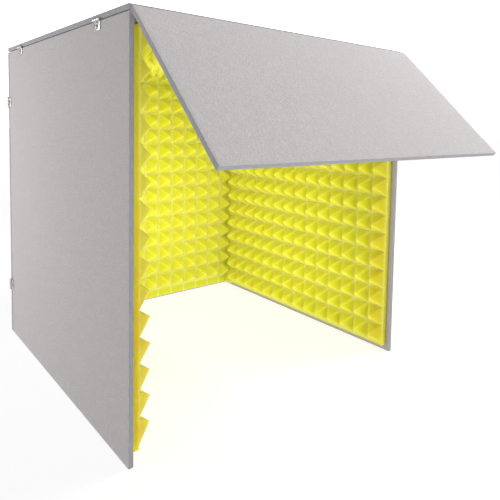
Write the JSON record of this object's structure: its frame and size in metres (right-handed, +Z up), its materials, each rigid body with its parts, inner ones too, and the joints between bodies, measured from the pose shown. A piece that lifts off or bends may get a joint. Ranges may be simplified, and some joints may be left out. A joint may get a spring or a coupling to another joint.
{
  "type": "microphone isolation shield",
  "caption": "Desktop booth of grey felt boards lined with yellow pyramid foam, open at the front and underneath, with hinged wings, a lifting roof and a tilting front flap.",
  "frame": {"origin": "centre of the whole object's box on the floor plane, with the front flap at its stored tilt", "axes": "+Z up, +Y from the open front to the back board, +X towards the right wing as seen from the front"},
  "size_m": [0.4786, 0.6444, 0.5],
  "materials": {
    "felt_board": "pressed grey fibre felt board, matte",
    "yellow_foam": "open-cell foam, matte",
    "nickel_steel": "nickel plated"
  },
  "bodies": {
    "back": {"back_foam_pad": "yellow_foam", "back_wall_panel": "felt_board", "left_high_back_leaf": "nickel_steel", "left_high_back_screw": "nickel_steel", "left_high_hinge_pin": "nickel_steel", "left_low_back_leaf": "nickel_steel", "left_low_back_screw": "nickel_steel", "left_low_hinge_pin": "nickel_steel", "right_high_back_leaf": "nickel_steel", "right_high_back_screw": "nickel_steel", "right_high_hinge_pin": "nickel_steel", "right_low_back_leaf": "nickel_steel", "right_low_back_screw": "nickel_steel", "right_low_hinge_pin": "nickel_steel"},
    "left_wing": {"left_foam_pad": "yellow_foam", "left_high_wing_leaf": "nickel_steel", "left_high_wing_screw": "nickel_steel", "left_low_wing_leaf": "nickel_steel", "left_low_wing_screw": "nickel_steel", "left_wing_panel": "felt_board", "roof_front_hinge_pin": "nickel_steel", "roof_front_wing_leaf": "nickel_steel", "roof_front_wing_screw": "nickel_steel", "roof_rear_hinge_pin": "nickel_steel", "roof_rear_wing_leaf": "nickel_steel", "roof_rear_wing_screw": "nickel_steel"},
    "right_wing": {"right_foam_pad": "yellow_foam", "right_high_wing_leaf": "nickel_steel", "right_high_wing_screw": "nickel_steel", "right_low_wing_leaf": "nickel_steel", "right_low_wing_screw": "nickel_steel", "right_wing_panel": "felt_board"},
    "roof": {"flap_left_hinge_pin": "nickel_steel", "flap_left_roof_leaf": "nickel_steel", "flap_left_roof_screw": "nickel_steel", "flap_right_hinge_pin": "nickel_steel", "flap_right_roof_leaf": "nickel_steel", "flap_right_roof_screw": "nickel_steel", "roof_foam_pad": "yellow_foam", "roof_front_roof_leaf": "nickel_steel", "roof_front_roof_screw": "nickel_steel", "roof_panel": "felt_board", "roof_rear_roof_leaf": "nickel_steel", "roof_rear_roof_screw": "nickel_steel"},
    "flap": {"flap_left_flap_leaf": "nickel_steel", "flap_left_flap_screw": "nickel_steel", "flap_panel": "felt_board", "flap_right_flap_leaf": "nickel_steel", "flap_right_flap_screw": "nickel_steel"}
  },
  "joints": [
    {"name": "left_wing_swing", "type": "hinge", "parent": "back", "child": "left_wing", "pos_m": [-0.2373, 0.31539, 0.245], "axis": [0, 0, -1], "range_deg": [0, 180]},
    {"name": "right_wing_swing", "type": "hinge", "parent": "back", "child": "right_wing", "pos_m": [0.2373, 0.31539, 0.245], "axis": [0, 0, 1], "range_deg": [0, 180]},
    {"name": "roof_lift", "type": "hinge", "parent": "left_wing", "child": "roof", "pos_m": [-0.2373, 0.09219, 0.4932], "axis": [0, -1, 0], "range_deg": [0, 110]},
    {"name": "flap_tilt", "type": "hinge", "parent": "roof", "child": "flap", "pos_m": [0, -0.15781, 0.4917], "axis": [1, 0, 0], "range_deg": [-44, 46]}
  ]
}
